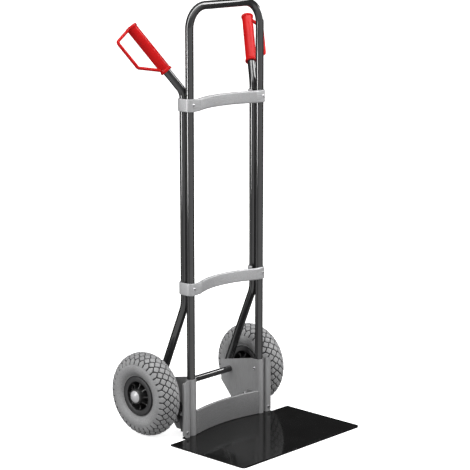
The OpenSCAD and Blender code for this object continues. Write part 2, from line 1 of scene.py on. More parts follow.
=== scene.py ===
# Looks of a two-wheeled hand truck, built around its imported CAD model. +Z is up, the load side
# faces -Y. Pieces are drawn in millimetres; floor, lights and camera are in metres.
import bmesh
import bpy
import math
import numpy as np
from mathutils import Matrix, Vector
from mathutils.geometry import tessellate_polygon

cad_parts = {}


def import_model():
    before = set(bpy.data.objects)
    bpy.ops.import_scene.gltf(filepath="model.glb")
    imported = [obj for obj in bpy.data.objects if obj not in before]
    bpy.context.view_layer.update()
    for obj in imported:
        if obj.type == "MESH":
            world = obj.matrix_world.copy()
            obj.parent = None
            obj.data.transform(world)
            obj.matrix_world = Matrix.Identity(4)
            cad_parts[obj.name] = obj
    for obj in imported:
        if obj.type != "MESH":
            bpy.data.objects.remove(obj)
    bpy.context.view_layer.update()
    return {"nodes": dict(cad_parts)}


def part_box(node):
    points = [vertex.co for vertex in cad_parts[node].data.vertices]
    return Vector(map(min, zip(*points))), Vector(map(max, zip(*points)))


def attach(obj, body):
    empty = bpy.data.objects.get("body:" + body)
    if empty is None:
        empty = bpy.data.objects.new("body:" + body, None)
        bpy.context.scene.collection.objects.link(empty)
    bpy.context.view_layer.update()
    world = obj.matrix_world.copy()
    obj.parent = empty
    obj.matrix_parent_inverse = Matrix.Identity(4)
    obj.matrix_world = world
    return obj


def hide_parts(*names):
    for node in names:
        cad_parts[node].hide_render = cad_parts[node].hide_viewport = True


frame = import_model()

MM = 0.001
SIDES = (("left", -1), ("right", 1))

# ---------- Places, read from the CAD nodes ----------

def mm_box(node):
    """Lower and upper corner of a CAD node's box, in millimetres."""
    return [np.array(c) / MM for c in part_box(node)]


hoop_lo, hoop_hi = mm_box("hoop_frame")
tube_r = (hoop_hi[1] - hoop_lo[1]) / 2
upright_x = hoop_hi[0] - tube_r
upright_y = (hoop_hi[1] + hoop_lo[1]) / 2
hoop_h = hoop_hi[2] - tube_r
hoop_foot = hoop_lo[2]
tyre_lo, tyre_hi = mm_box("tyre_right")
wheel_x = (tyre_lo[0] + tyre_hi[0]) / 2
axle_y = (tyre_lo[1] + tyre_hi[1]) / 2
axle_z = (tyre_lo[2] + tyre_hi[2]) / 2
wheel_r = (tyre_hi[2] - tyre_lo[2]) / 2
tyre_sec_r = (tyre_hi[0] - tyre_lo[0]) / 2
tyre_ring_r = wheel_r - tyre_sec_r


# ---------- Materials ----------

def rgb(r, g, b):
    return (r, g, b, 1.0)


class Nodes:
    """A material with a Principled shader, and short calls that add nodes to it."""

    def __init__(self, name):
        self.mat = bpy.data.materials.new(name)
        self.mat.use_nodes = True
        self.tree = self.mat.node_tree
        self.shader = next(n for n in self.tree.nodes if n.type == "BSDF_PRINCIPLED")

    def add(self, kind, **props):
        n = self.tree.nodes.new(kind)
        for k, v in props.items():
            setattr(n, k, v)
        return n

    def link(self, a, b):
        self.tree.links.new(a, b)

    def set(self, **values):
        for k, v in values.items():
            self.shader.inputs[k.replace("_", " ")].default_value = v

    def coords(self, scale=(1, 1, 1)):
        c = self.add("ShaderNodeTexCoord")
        m = self.add("ShaderNodeMapping")
        m.inputs["Scale"].default_value = scale
        self.link(c.outputs["Object"], m.inputs["Vector"])
        return m.outputs["Vector"]

    def noise(self, scale, detail=3.0, rough=0.55, stretch=(1, 1, 1)):
        n = self.add("ShaderNodeTexNoise")
        n.inputs["Scale"].default_value = scale
        n.inputs["Detail"].default_value = detail
        n.inputs["Roughness"].default_value = rough
        self.link(self.coords(stretch), n.inputs["Vector"])
        return n.outputs["Fac"]

    def ramp(self, fac, stops):
        r = self.add("ShaderNodeValToRGB")
        while len(r.color_ramp.elements) < len(stops):
            r.color_ramp.elements.new(0.5)
        for e, (p, c) in zip(r.color_ramp.elements, stops):
            e.position = p
            e.color = rgb(*c)
        self.link(fac, r.inputs["Fac"])
        return r.outputs["Color"]

    def mapped(self, fac, lo, hi, a, b):
        m = self.add("ShaderNodeMapRange")
        for k, v in (("From Min", lo), ("From Max", hi), ("To Min", a), ("To Max", b)):
            m.inputs[k].default_value = v
        self.link(fac, m.inputs["Value"])
        return m.outputs["Result"]

    def mix(self, fac, a, b):
        m = self.add("ShaderNodeMix", data_type="RGBA")
        for s, v in ((m.inputs["Factor"], fac), (m.inputs[6], a), (m.inputs[7], b)):
            if hasattr(v, "is_linked"):
                self.link(v, s)
            else:
                s.default_value = v
        return m.outputs[2]

    def bump(self, height, strength, distance, after=None):
        b = self.add("ShaderNodeBump")
        b.inputs["Strength"].default_value = strength
        b.inputs["Distance"].default_value = distance
        self.link(height, b.inputs["Height"])
        if after is not None:
            self.link(after, b.inputs["Normal"])
        return b.outputs["Normal"]

    def finish(self, color=None, roughness=None, normal=None):
        for out, name in ((color, "Base Color"), (roughness, "Roughness"), (normal, "Normal")):
            if out is not None:
                self.link(out, self.shader.inputs[name])
        return self.mat


def gloss_paint(name, low, high, rough, level=0.5, coat=0.3):
    """Smooth dark paint under a clear coat."""
    n = Nodes(name)
    n.set(IOR=1.5, Specular_IOR_Level=level, Coat_Weight=coat, Coat_Roughness=0.03)
    cloud = n.noise(9, 4)
    peel = n.noise(150, 2)
    base = n.ramp(cloud, [(0.3, low), (0.7, high)])
    rough_out = n.mapped(cloud, 0.3, 0.7, rough - 0.03, rough + 0.04)
    return n.finish(base, rough_out, n.bump(peel, 0.03, 0.0003))


def aluminium(name, low, high, stretch, rough, metal):
    """Brushed aluminium; the grain runs along the axis with the small stretch."""
    n = Nodes(name)
    n.set(Metallic=metal, IOR=1.5, Specular_IOR_Level=0.2)
    grain = n.noise(900, 3, 0.6, stretch)
    lines = n.noise(240, 4, 0.7, stretch)
    cloud = n.noise(11, 3)
    base = n.ramp(grain, [(0.28, low), (0.72, high)])
    base = n.mix(n.mapped(cloud, 0.35, 0.7, 0.0, 0.18), base, rgb(*[c * 0.8 for c in low]))
    rough_out = n.mapped(lines, 0.3, 0.7, rough - 0.07, rough + 0.09)
    return n.finish(base, rough_out, n.bump(lines, 0.12, 0.0003, n.bump(grain, 0.10, 0.0002)))


def moulded(name, low, high, rough, pitch=650.0, strength=0.12, spec=0.5):
    """Plastic with a fine surface grain of that pitch."""
    n = Nodes(name)
    n.set(IOR=1.48, Specular_IOR_Level=spec)
    pores = n.noise(pitch, 3, 0.6)
    cloud = n.noise(14, 3)
    base = n.ramp(cloud, [(0.3, low), (0.72, high)])
    rough_out = n.mapped(pores, 0.3, 0.7, rough - 0.06, rough + 0.08)
    return n.finish(base, rough_out, n.bump(pores, strength, 0.0003))


def plated(name, low, high, rough):
    """Zinc-plated or bare steel."""
    n = Nodes(name)
    n.set(Metallic=1.0)
    spangle = n.noise(160, 3)
    fine = n.noise(1300, 2)
    base = n.ramp(spangle, [(0.3, low), (0.7, high)])
    rough_out = n.mapped(fine, 0.3, 0.7, rough - 0.06, rough + 0.1)
    return n.finish(base, rough_out, n.bump(fine, 0.08, 0.0002))


def rubber(name, low, high, shaded_groove):
    """Grey rubber, darkened with painted shade where the mesh's groove mark is high."""
    n = Nodes(name)
    n.set(IOR=1.5, Specular_IOR_Level=0.35)
    cloud = n.noise(16, 4)
    pores = n.noise(280, 4, 0.7)
    base = n.ramp(cloud, [(0.28, low), (0.74, high)])
    base = n.mix(n.mapped(pores, 0.42, 0.66, 0.0, 0.5), base, rgb(*[c * 0.62 for c in low]))
    depth = n.add("ShaderNodeAttribute", attribute_name="shaded_groove")
    # painted shade: the tread grooves are mixed towards a near-black colour
    base = n.mix(n.mapped(depth.outputs["Fac"], 0.1, 0.8, 0.0, 1.0), base, rgb(*shaded_groove))
    return n.finish(base, n.mapped(pores, 0.3, 0.7, 0.55, 0.75), n.bump(pores, 0.2, 0.0004))


TUBE = gloss_paint("tube_paint", (0.020, 0.020, 0.021), (0.028, 0.028, 0.029), 0.06)
PLATE = gloss_paint("plate_paint", (0.006, 0.006, 0.006), (0.009, 0.009, 0.009), 0.12, 0.14, 0.1)
CHEEK = gloss_paint("cheek_paint", (0.016, 0.016, 0.017), (0.026, 0.026, 0.027), 0.28)
BAR = aluminium("bar_aluminium", (0.32, 0.32, 0.325), (0.51, 0.51, 0.52), (0.05, 1, 1), 0.46, 0.2)
BRACKET = aluminium("bracket_aluminium", (0.27, 0.27, 0.273), (0.365, 0.365, 0.37), (1, 1, 0.05),
                    0.44, 0.3)
PANEL = aluminium("panel_aluminium", (0.17, 0.17, 0.172), (0.25, 0.25, 0.253), (0.05, 1, 1),
                  0.40, 0.3)
ZINC = plated("zinc", (0.30, 0.30, 0.31), (0.44, 0.44, 0.45), 0.36)
# lighter copy of the zinc plate: painted light on the crossbar rivets
LIT_ZINC = plated("rivet_zinc_lit", (0.40, 0.40, 0.41), (0.54, 0.54, 0.55), 0.38)
# darker copy of the zinc plate: painted shade on the toe plate's rivets and on the cheek bolts and
# nuts
SHADED_ZINC = plated("zinc_shaded", (0.24, 0.24, 0.245), (0.34, 0.34, 0.345), 0.42)
STEEL = plated("bearing_steel", (0.42, 0.42, 0.43), (0.60, 0.60, 0.62), 0.24)
# near black: painted shade for the hollow in the middle of each rivet head
CORE_SHADE = moulded("rivet_core_shade", (0.004, 0.004, 0.004), (0.012, 0.012, 0.012), 0.7, spec=0.1)
RED = moulded("red_grip", (0.56, 0.008, 0.010), (0.66, 0.013, 0.013), 0.24, spec=0.08)
BLACK = moulded("black_plastic", (0.014, 0.014, 0.015), (0.026, 0.026, 0.027), 0.45)
RIM = moulded("rim_plastic", (0.022, 0.022, 0.023), (0.038, 0.038, 0.039), 0.44, spec=0.4)
# darker copy of the rim plastic: painted shade in the rim's pocket, on its ribs and bolt bosses
POCKET_SHADE = moulded("rim_pocket_shade", (0.008, 0.008, 0.008), (0.022, 0.022, 0.022), 0.42, 320.0, 0.2)
CAP = moulded("cap_plastic", (0.52, 0.52, 0.53), (0.62, 0.62, 0.63), 0.22, 500.0, 0.05)
# the last colour is the painted shade in the tread grooves
TYRE = rubber("tyre_rubber", (0.26, 0.26, 0.264), (0.37, 0.37, 0.374), (0.022, 0.022, 0.023))
TUBE_RUBBER = moulded("tube_rubber", (0.02, 0.02, 0.02), (0.034, 0.034, 0.035), 0.6)


# ---------- Objects and meshes, in millimetres ----------

def linked(name, data):
    o = bpy.data.objects.new(name, data)
    bpy.context.scene.collection.objects.link(o)
    return o


class Part:
    """Vertices and faces of one piece, gathered in millimetres."""

    def __init__(self):
        self.verts, self.faces, self.slots = [], [], []

    def add(self, verts, faces, matrix=None, slot=0):
        base = len(self.verts)
        for v in verts:
            p = Vector(v)
            self.verts.append(matrix @ p if matrix is not None else p)
        self.faces += [[base + i for i in f] for f in faces]
        self.slots += [slot] * len(faces)
        return self

    def mesh(self, name, sharp):
        me = bpy.data.meshes.new(name)
        me.from_pydata([v * MM for v in self.verts], [], self.faces)
        me.polygons.foreach_set("material_index", self.slots)
        bm = bmesh.new()
        bm.from_mesh(me)
        bmesh.ops.recalc_face_normals(bm, faces=bm.faces)
        bm.to_mesh(me)
        bm.free()
        me.shade_smooth()
        me.set_sharp_from_angle(angle=math.radians(sharp))
        me.update()
        return me


def piece(name, part, mats, body, replaces, sharp=32):
    """A visual piece that rides on a body and stands for one CAD node."""
    me = part if isinstance(part, bpy.types.Mesh) else part.mesh(name, sharp)
    o = linked(name, me)
    for m in mats if isinstance(mats, list) else [mats]:
        me.materials.append(m)
    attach(o, body)
    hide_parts(replaces)


def grid_faces(rows, cols, loop_rows=False, loop_cols=True):
    """Quads between neighbouring vertices of a grid, closed on itself where it loops."""
    faces = []
    for i in range(rows if loop_rows else rows - 1):
        for j in range(cols if loop_cols else cols - 1):
            a, b = i * cols + j, i * cols + (j + 1) % cols
            c, d = ((i + 1) % rows) * cols + (j + 1) % cols, ((i + 1) % rows) * cols + j
            faces.append([a, b, c, d])
    return faces


def end_faces(rows, cols):
    """The faces that close the first and last row of such a grid."""
    return [list(range(cols))[::-1], [(rows - 1) * cols + j for j in range(cols)]]


def polar(r, j, segs, z=0):
    """Place j of segs round Z, at radius r."""
    a = 2 * math.pi * j / segs
    return (r * math.cos(a), r * math.sin(a), z)


def lathe(profile, segs):
    """Closed solid of revolution round Z, from a profile of (radius, z).

    The profile is taken as closed, unless it starts and ends on the axis.
    """
    on_axis = profile[0][0] < 1e-6 and profile[-1][0] < 1e-6
    rings = profile[1:-1] if on_axis else profile
    verts = [polar(r, j, segs, z) for r, z in rings for j in range(segs)]
    faces = grid_faces(len(rings), segs, loop_rows=not on_axis)
    if on_axis:
        for z, first in ((profile[0][1], 0), (profile[-1][1], (len(rings) - 1) * segs)):
            verts.append((0, 0, z))
            faces += [[len(verts) - 1, first + j, first + (j + 1) % segs] for j in range(segs)]
    return verts, faces


def bend_path(points, radius, steps):
    """Points joined by straight runs, each corner turned on an arc; one radius, or one for each."""
    out = [Vector(points[0])]
    radii = radius if isinstance(radius, (list, tuple)) else [radius] * (len(points) - 2)
    for i in range(1, len(points) - 1):
        p, a, b = Vector(points[i]), Vector(points[i - 1]), Vector(points[i + 1])
        u, v = (a - p).normalized(), (b - p).normalized()
        half = u.angle(v) / 2
        run, r = radii[i - 1] / math.tan(half), radii[i - 1]
        centre = p + (u + v).normalized() * (r / math.sin(half))
        start, end = p + u * run - centre, p + v * run - centre
        total = start.angle(end)
        for k in range(steps + 1):
            t = k / steps
            w = (start * math.sin((1 - t) * total) + end * math.sin(t * total)) / math.sin(total)
            out.append(centre + w)
    out.append(Vector(points[-1]))
    return out


def sweep(path, section, scales=None, end_round=0.0):
    """Closed skin of a section carried along a path, with a small rounding at both ends."""
    n = len(path)
    tangents = [(path[min(i + 1, n - 1)] - path[max(i - 1, 0)]).normalized() for i in range(n)]
    tangents[0], tangents[-1] = (path[1] - path[0]).normalized(), (path[-1] - path[-2]).normalized()
    side = Vector((1, 0, 0)) if abs(tangents[0].x) < 0.8 else Vector((0, 1, 0))
    side = (side - tangents[0] * side.dot(tangents[0])).normalized()
    frames = []
    for i, t in enumerate(tangents):
        if i:
            side = tangents[i - 1].rotation_difference(t) @ side
            side = (side - t * side.dot(t)).normalized()
        frames.append((path[i], side.copy(), t.cross(side), 1.0 if scales is None else scales[i]))
    if end_round:
        r = max(abs(c) for p in section for c in p)
        k = 1 - end_round / r
        p, s, u, f = frames[0]
        frames[0] = (p + tangents[0] * end_round, s, u, f)
        frames.insert(0, (p, s, u, f * k))
        p, s, u, f = frames[-1]
        frames[-1] = (p - tangents[-1] * end_round, s, u, f)
        frames.append((p, s, u, f * k))
    verts = [p + (s * x + u * y) * f for p, s, u, f in frames for x, y in section]
    m = len(section)
    return verts, grid_faces(len(frames), m) + end_faces(len(frames), m)


def circle(r, n):
    return [polar(r, i, n)[:2] for i in range(n)]


def rounded(half_w, half_h, r, steps):
    """Outline of a rectangle with round corners."""
    out = []
    for cx, cy, a0 in ((half_w - r, half_h - r, 0), (r - half_w, half_h - r, 90),
                       (r - half_w, r - half_h, 180), (half_w - r, r - half_h, 270)):
        for k in range(steps + 1):
            a = math.radians(a0 + 90 * k / steps)
            out.append((cx + r * math.cos(a), cy + r * math.sin(a)))
    return out


def arc(cx, cy, r, a0, a1, steps):
    return [(cx + r * math.cos(math.radians(a0 + (a1 - a0) * k / steps)),
             cy + r * math.sin(math.radians(a0 + (a1 - a0) * k / steps))) for k in range(steps + 1)]


def clean_outline(points):
    """Drops repeated points of (x, y, edge radius)."""
    same = 0.02
    out = []
    for p in points:
        if not out or math.hypot(p[0] - out[-1][0], p[1] - out[-1][1]) > same:
            out.append(p)
    if math.hypot(out[0][0] - out[-1][0], out[0][1] - out[-1][1]) < same:
        out.pop()
    return out


def rounded_slab(outline, z0, z1, steps):
    """Extrudes an anticlockwise outline of (x, y, edge radius) and rounds both its rims."""
    mitre_limit = 0.35
    n = len(outline)
    xy = np.array([p[:2] for p in outline], float)
    radius = np.array([p[2] for p in outline], float)
    before, after = xy - np.roll(xy, 1, 0), np.roll(xy, -1, 0) - xy
    before /= np.linalg.norm(before, axis=1)[:, None]
    after /= np.linalg.norm(after, axis=1)[:, None]
    n1, n2 = np.stack([-before[:, 1], before[:, 0]], 1), np.stack([-after[:, 1], after[:, 0]], 1)
    inward = n1 + n2
    inward /= np.maximum(np.einsum("ij,ij->i", inward, n1), mitre_limit)[:, None]
    angles = [math.pi / 2 * k / steps for k in range(steps + 1)]
    rings = []
    for z, rise, turns in ((z0, 1, angles), (z1, -1, angles[::-1])):
        for a in turns:
            p = xy + inward * (radius * (1 - math.sin(a)))[:, None]
            rings.append(np.column_stack([p, z + rise * radius * (1 - math.cos(a))]))
    verts = [tuple(v) for ring in rings for v in ring]
    faces = grid_faces(len(rings), n)
    top = (len(rings) - 1) * n
    flat = [Vector((x, y, 0)) for x, y, _ in verts[:n]]
    for tri in tessellate_polygon([flat]):
        faces += [list(tri), [top + j for j in reversed(tri)]]
    return verts, faces


def islands(node):
    """Boxes of the separate solids in one CAD node, in millimetres."""
    bm = bmesh.new()
    bm.from_mesh(frame["nodes"][node].data)
    bmesh.ops.remove_doubles(bm, verts=bm.verts, dist=1e-6)
    left, found = set(bm.verts), []
    while left:
        stack, group = [left.pop()], []
        while stack:
            v = stack.pop()
            group.append(v.co / MM)
            for e in v.link_edges:
                w = e.other_vert(v)
                if w in left:
                    left.remove(w)
                    stack.append(w)
        co = np.array(group)
        found.append((co.min(0), co.max(0)))
    bm.free()
    return sorted(found, key=lambda b: tuple(np.round(b[0], 2)))


def along(origin, direction):
    """Matrix whose local +Z points along a direction."""
    z = Vector(direction).normalized()
    x = Vector((0, 0, 1)).cross(z)
    x = Vector((1, 0, 0)) if x.length < 1e-6 else x.normalized()
    y = z.cross(x)
    m = Matrix((x, y, z)).transposed().to_4x4()
    m.translation = Vector(origin)
    return m


def keep_node(node, mat, bevel=0.0, steps=3):
    """A CAD node that stays: welded, flat faces merged, edges rounded, and given its finish."""
    flat_angle, edge_angle = math.radians(0.6), math.radians(38)
    o = frame["nodes"][node]
    o.data.materials.clear()
    o.data.materials.append(mat)
    w = o.modifiers.new("weld", "WELD")
    w.merge_threshold = 1e-6
    d = o.modifiers.new("flat", "DECIMATE")
    d.decimate_type = "DISSOLVE"
    d.angle_limit = flat_angle
    if bevel:
        b = o.modifiers.new("edges", "BEVEL")
        b.width = bevel * MM
        b.segments = steps
        b.limit_method = "ANGLE"
        b.angle_limit = edge_angle
        b.miter_outer = "MITER_ARC"
        b.harden_normals = False
    o.data.shade_smooth()
    nrm = o.modifiers.new("normals", "WEIGHTED_NORMAL")
    nrm.keep_sharp = False
    nrm.weight = 60


# ---------- Tubes ----------

HOOP_BEND_R, TUBE_GAP, TUBE_SEGS, END_ROUND = 67, 0.3, 56, 0.5


def tube(name, path, replaces):
    skin = sweep(path, circle(tube_r, TUBE_SEGS), end_round=END_ROUND)
    piece(name, Part().add(*skin), TUBE, "frame", replaces)


hoop = [(-upright_x, upright_y, hoop_foot), (-upright_x, upright_y, hoop_h),
        (upright_x, upright_y, hoop_h), (upright_x, upright_y, hoop_foot)]
tube("hoop_tube", bend_path(hoop, HOOP_BEND_R, 28), "hoop_frame")

# Lengths in millimetres, leans and headings in degrees; the tube stops TUBE_INSET inside the grip
rear_y = upright_y + 2 * tube_r + TUBE_GAP
KNEE_H, KNEE_LEAN, KNEE_R, LEG_END = 408, 22.6, 100, 101
ELBOW_H, ELBOW_R, HANDLE_LEAN, HANDLE_HEADING = 1057, 50, 38.8, 50
GRIP_START, GRIP_LEN, TUBE_INSET = 60, 171, 8
elbow_run = ELBOW_R * math.tan(math.radians(HANDLE_LEAN) / 2)


def handle_matrix(side):
    """Local +Z along the handle from the end of its upper bend, local +X the way it leans."""
    a = math.radians(HANDLE_LEAN)
    m = (Matrix.Translation((upright_x, rear_y, ELBOW_H - elbow_run))
         @ Matrix.Rotation(math.radians(HANDLE_HEADING), 4, "Z")
         @ Matrix.Translation((ELBOW_R * (1 - math.cos(a)), 0, ELBOW_R * math.sin(a)))
         @ Matrix.Rotation(a, 4, "Y"))
    return m if side > 0 else Matrix.Scale(-1, 4, (1, 0, 0)) @ m


for label, side in SIDES:
    leg = math.radians(KNEE_LEAN)
    handle_end = handle_matrix(side) @ Vector((0, 0, GRIP_START + GRIP_LEN - TUBE_INSET))
    corners = [(side * upright_x, rear_y + (KNEE_H - LEG_END) * math.tan(leg), LEG_END),
               (side * upright_x, rear_y, KNEE_H), (side * upright_x, rear_y, ELBOW_H), handle_end]
    tube(f"rear_tube_{label}_skin", bend_path(corners, [KNEE_R, ELBOW_R], 24), f"rear_tube_{label}")

for node in ("hoop_foot_plugs", "rear_tube_plugs"):
    keep_node(node, BLACK, 0.5)


# ---------- Grips ----------

def grip_part(side):
    """Sleeve with a collar at each end, and the knuckle guard between the collars."""
    part = Part()
    m = handle_matrix(side) @ Matrix.Translation((0, 0, GRIP_START))
    bore, r, collar, end = 12.6, 16.75, 18.95, GRIP_LEN
    end_wall, belly, steps = 7.5, 0.10, 40
    low, high = 8.2, end - 10.2
    body = [(0, end - end_wall), (bore, end - end_wall), (bore, 0.4), (13.2, 0), (collar - 1.6, 0),
            (collar - 0.5, 0.5), (collar, 1.6), (collar, 5.2), (collar - 0.5, 6.5),
            (collar - 1.5, 7.2), (r, low)]
    for k in range(1, steps):
        z = low + (high - 0.2 - low) * k / steps
        body.append((r + belly * math.sin(k * math.pi / steps), z))
    body += [(r, high), (collar - 1.2, end - 9.2), (collar - 0.4, end - 8.4), (collar, end - 7.2),
             (collar, end - 3.8), (collar - 0.7, end - 2.2), (collar - 2.2, end - 1.2),
             (collar - 5, end - 0.3), (8, end), (0, end)]
    part.add(*lathe(body, 64), m)
    reach, heading, corner_r, pitch = 73.5, -45, 9.0, 6
    turn = m @ Matrix.Rotation(math.radians(heading), 4, "Z")
    corners = [(6, 0, 6.6), (reach, 0, 62.1), (reach, 0, 158.0), (6, 0, 166.3)]
    bent = bend_path(corners, corner_r, 10)
    path = []
    for a, b in zip(bent, bent[1:]):
        parts = max(1, int((b - a).length / pitch))
        path += [a.lerp(b, k / parts) for k in range(parts)]
    path.append(bent[-1])
    # the bar thickens towards both its roots
    run = [0.0]
    for a, b in zip(path, path[1:]):
        run.append(run[-1] + (b - a).length)
    swell = [1 + 0.22 * math.exp(-min(s, run[-1] - s) / 9) for s in run]
    return part.add(*sweep(path, rounded(4.5, 5.0, 3.9, 6), swell), turn)


for label, side in SIDES:
    piece(f"grip_{label}_moulding", grip_part(side), RED, "frame", f"grip_{label}",
          sharp=40)


# ---------- Crossbars ----------

def crossbar_outline():
    """Plan of a bowed bar whose ends wrap both tubes, as (x, y, edge radius)."""
    front, rear_of_pad, crease, steps = -16.7, -8.7, 124.0, 30
    band_r, band_t = 256.25, 8
    band_cy = 15.3 - band_r
    wrap_in, wrap_out = 12.5, 16.5
    near_x, far_x = 152.8, 153.2
    front_tube, rear_tube = -0.2, 25.5

    def band(r, edge, turns):
        return [(x, band_cy + math.sqrt(r ** 2 - x * x), edge)
                for x in (crease * k / steps for k in turns)]

    def turn(cx, cy, r, a0, a1, edge, parts=10):
        return [(x, y, edge) for x, y in arc(cx, cy, r, a0, a1, parts)]

    right = band(band_r, 6.0, range(steps + 1))
    right += [(crease + 2.5, front, 6.0), (134, front, 5.5), (142, front, 4.0), (149, front, 2.8)]
    right += turn(far_x, front_tube, wrap_out, -90, 0, 2.4)
    right += turn(far_x, rear_tube, wrap_out, 0, 90, 2.4)
    right += turn(near_x, rear_tube, wrap_out, 90, 180, 2.4)
    right += [(136.3, 17.2, 2.0), (136.8, 16.4, 1.2), (137.6, 16.3, 1.0), (139.4, 16.3, 0.6),
              (140.3, 17.0, 0.4)]
    right += turn(near_x, rear_tube, wrap_in, 180, 90, 0.4)
    right += turn(far_x, rear_tube, wrap_in, 90, 0, 0.4)
    right += turn(far_x, front_tube, wrap_in, 0, -90, 0.4)
    right += turn(near_x, front_tube, wrap_in, -90, -137, 0.4, 6)
    right += [(141.5, rear_of_pad, 0.7), (crease + 4, rear_of_pad, 1.0)]
    right += band(band_r + band_t, 1.2, range(steps - 1, -1, -1))
    right = clean_outline(right)
    left = [(-x, y, r) for x, y, r in right[1:-1]]
    return right + left[::-1]


bar_outline = [(x, y + upright_y, r) for x, y, r in crossbar_outline()]
for name in ("upper_crossbar", "lower_crossbar"):
    lo, hi = mm_box(name)
    slab = rounded_slab(bar_outline, lo[2], hi[2], 6)
    piece(name + "_profile", Part().add(*slab), BAR, "frame", name, sharp=24)


# ---------- Rivets ----------

RIVET_RISE = 1.8


def rivet_head(part, matrix, shank):
    """Head of a blind rivet at the origin, shank along +Z, the mandrel's stub in its middle, near
    black as painted shade of the rivet's hollow.
    """
    head = [(2.4, 0.6), (2.5, -1.2), (2.9, -1.65), (3.5, -RIVET_RISE), (4.2, -1.7), (5.1, -1.25),
            (5.75, -0.65), (6.0, -0.12), (5.9, 0), (3.2, 0), (3.2, shank), (2.4, shank)]
    stub = [(0, -1.2), (1.7, -1.15), (2.6, -0.95), (2.6, 2.5), (0, 2.5)]
    part.add(*lathe(head, 32), matrix)
    # the stub takes slot 1, painted near black as shade
    part.add(*lathe(stub, 24), matrix, slot=1)


def rivets(node, pointing, shank, metal):
    """A head at each rivet of a CAD node; pointing gives the shank's direction from its centre."""
    part = Part()
    for lo, hi in islands(node):
        c = (lo + hi) / 2
        d = Vector(pointing(c))
        axis = int(np.argmax(np.abs(np.array(d))))
        c[axis] = lo[axis] + RIVET_RISE if d[axis] > 0 else hi[axis] - RIVET_RISE
        rivet_head(part, along(c, d), shank)
    piece(node + "_heads", part, [metal, CORE_SHADE], "frame", node)


# the crossbar rivets take the lighter zinc, as painted light
for node in ("upper_crossbar_rivets", "lower_crossbar_rivets"):
    rivets(node, lambda c: (0, 1, 0) if c[1] < upright_y + tube_r else (0, -1, 0), 6, LIT_ZINC)
for node in ("bracket_rivets", "cross_panel_rivets"):
    rivets(node, lambda c: (1, 0, 0) if c[0] > 0 else (-1, 0, 0), 5, ZINC)
# the toe plate's rivets take the darker zinc, as painted shade
rivets("toe_plate_rivets", lambda c: (0, 1, 0), 5, SHADED_ZINC)


# ---------- Base ----------

for label, side in SIDES:
    keep_node(f"bracket_{label}", BRACKET, 0.8)
    keep_node(f"toe_plate_cheek_{label}", CHEEK, 1.0)
keep_node("toe_plate", PLATE, 1.1, 4)


def panel_part():
    """Bowed panel, coped round the tubes behind it, with a flange at each end."""
    lo, hi = mm_box("cross_panel")
    z0, z1, half = lo[2], hi[2], hi[0]
    front_r, bow, t, front = 514.1, 20, 8, -15.5
    cy = front + bow - front_r
    pad, steps, cope_r = half - 11, 80, 15.7

    def bowed(x, r):
        return cy + math.sqrt(r * r - min(abs(x), pad) ** 2)

    def behind(x):
        y, from_tube = bowed(x, front_r + t), abs(x) - upright_x
        if from_tube <= -cope_r:
            return y
        return min(y, -math.sqrt(max(cope_r ** 2 - from_tube ** 2, 0)))

    xs = [half * k / steps for k in range(-steps, steps + 1)]
    outline = [(x, bowed(x, front_r), 3.2) for x in xs] + [(x, behind(x), 2.2) for x in xs[::-1]]
    outline = clean_outline([(x, y + upright_y, r if abs(x) < half - 1 else 0.8)
                             for x, y, r in outline])
    part = Part().add(*rounded_slab(outline, z0, z1, 6))
    x0, x1, y0, y1, lower, cuts = 134.3, 137.3, -6.5, 34, 3, 6
    for flange in ([(-x0, y1), (-x1, y1), (-x1, y0), (-x0, y0)],
                   [(x0, y0), (x1, y0), (x1, y1), (x0, y1)]):
        dense = []
        for (ax, ay), (bx, by) in zip(flange, flange[1:] + flange[:1]):
            dense += [(ax + (bx - ax) * k / cuts, ay + (by - ay) * k / cuts + upright_y, 0.5)
                      for k in range(cuts)]
        part.add(*rounded_slab(dense, z0, z1 - lower, 3))
    return part


piece("cross_panel_profile", panel_part(), PANEL, "frame", "cross_panel", sharp=26)


def hexagon_nut(part, matrix, r, h, bore):
    """Nut, or bolt head where bore is 0, from z = 0 to h, chamfered at both ends."""
    segs, chamfer = 72, 0.6
    flat, rise = r * math.cos(math.pi / 6), 0.12 * r
    hexa = [flat / math.cos((2 * math.pi * j / segs) % (math.pi / 3) - math.pi / 6)
            for j in range(segs)]
    verts = []
    for z, cap in ((0, flat * 0.98), (rise, r), (h - rise, r), (h, flat * 0.98)):
        verts += [polar(min(hexa[j], cap), j, segs, z) for j in range(segs)]
    if bore:
        wide = bore + chamfer
        for z, q in ((h, wide), (h - chamfer, bore), (chamfer, bore), (0, wide)):
            verts += [polar(q, j, segs, z) for j in range(segs)]
        faces = grid_faces(8, segs, loop_rows=True)
    else:
        faces = grid_faces(4, segs) + end_faces(4, segs)
    part.add(verts, faces, matrix)


def threaded(part, matrix, r, z0, z1, pitch=1.25):
    """Bolt shank with thread grooves over its last stretch."""
    thread_run, lead, depth, point = 12, 1.2, 0.45, 0.9
    z = z1 - thread_run
    prof = [(0, z0), (r, z0), (r, z)]
    while z < z1 - lead:
        prof += [(r - depth, z + pitch / 2), (r, z + pitch)]
        z += pitch
    prof += [(r - point, z1), (0, z1)]
    part.add(*lathe(prof, 24), matrix)


def outward(lo, hi):
    """Matrix at the inner end of a fastener along X, its local +Z pointing away from the middle."""
    c, s = (lo + hi) / 2, 1 if lo[0] > 0 else -1
    c[0] = lo[0] if s > 0 else hi[0]
    return along(c, (s, 0, 0))


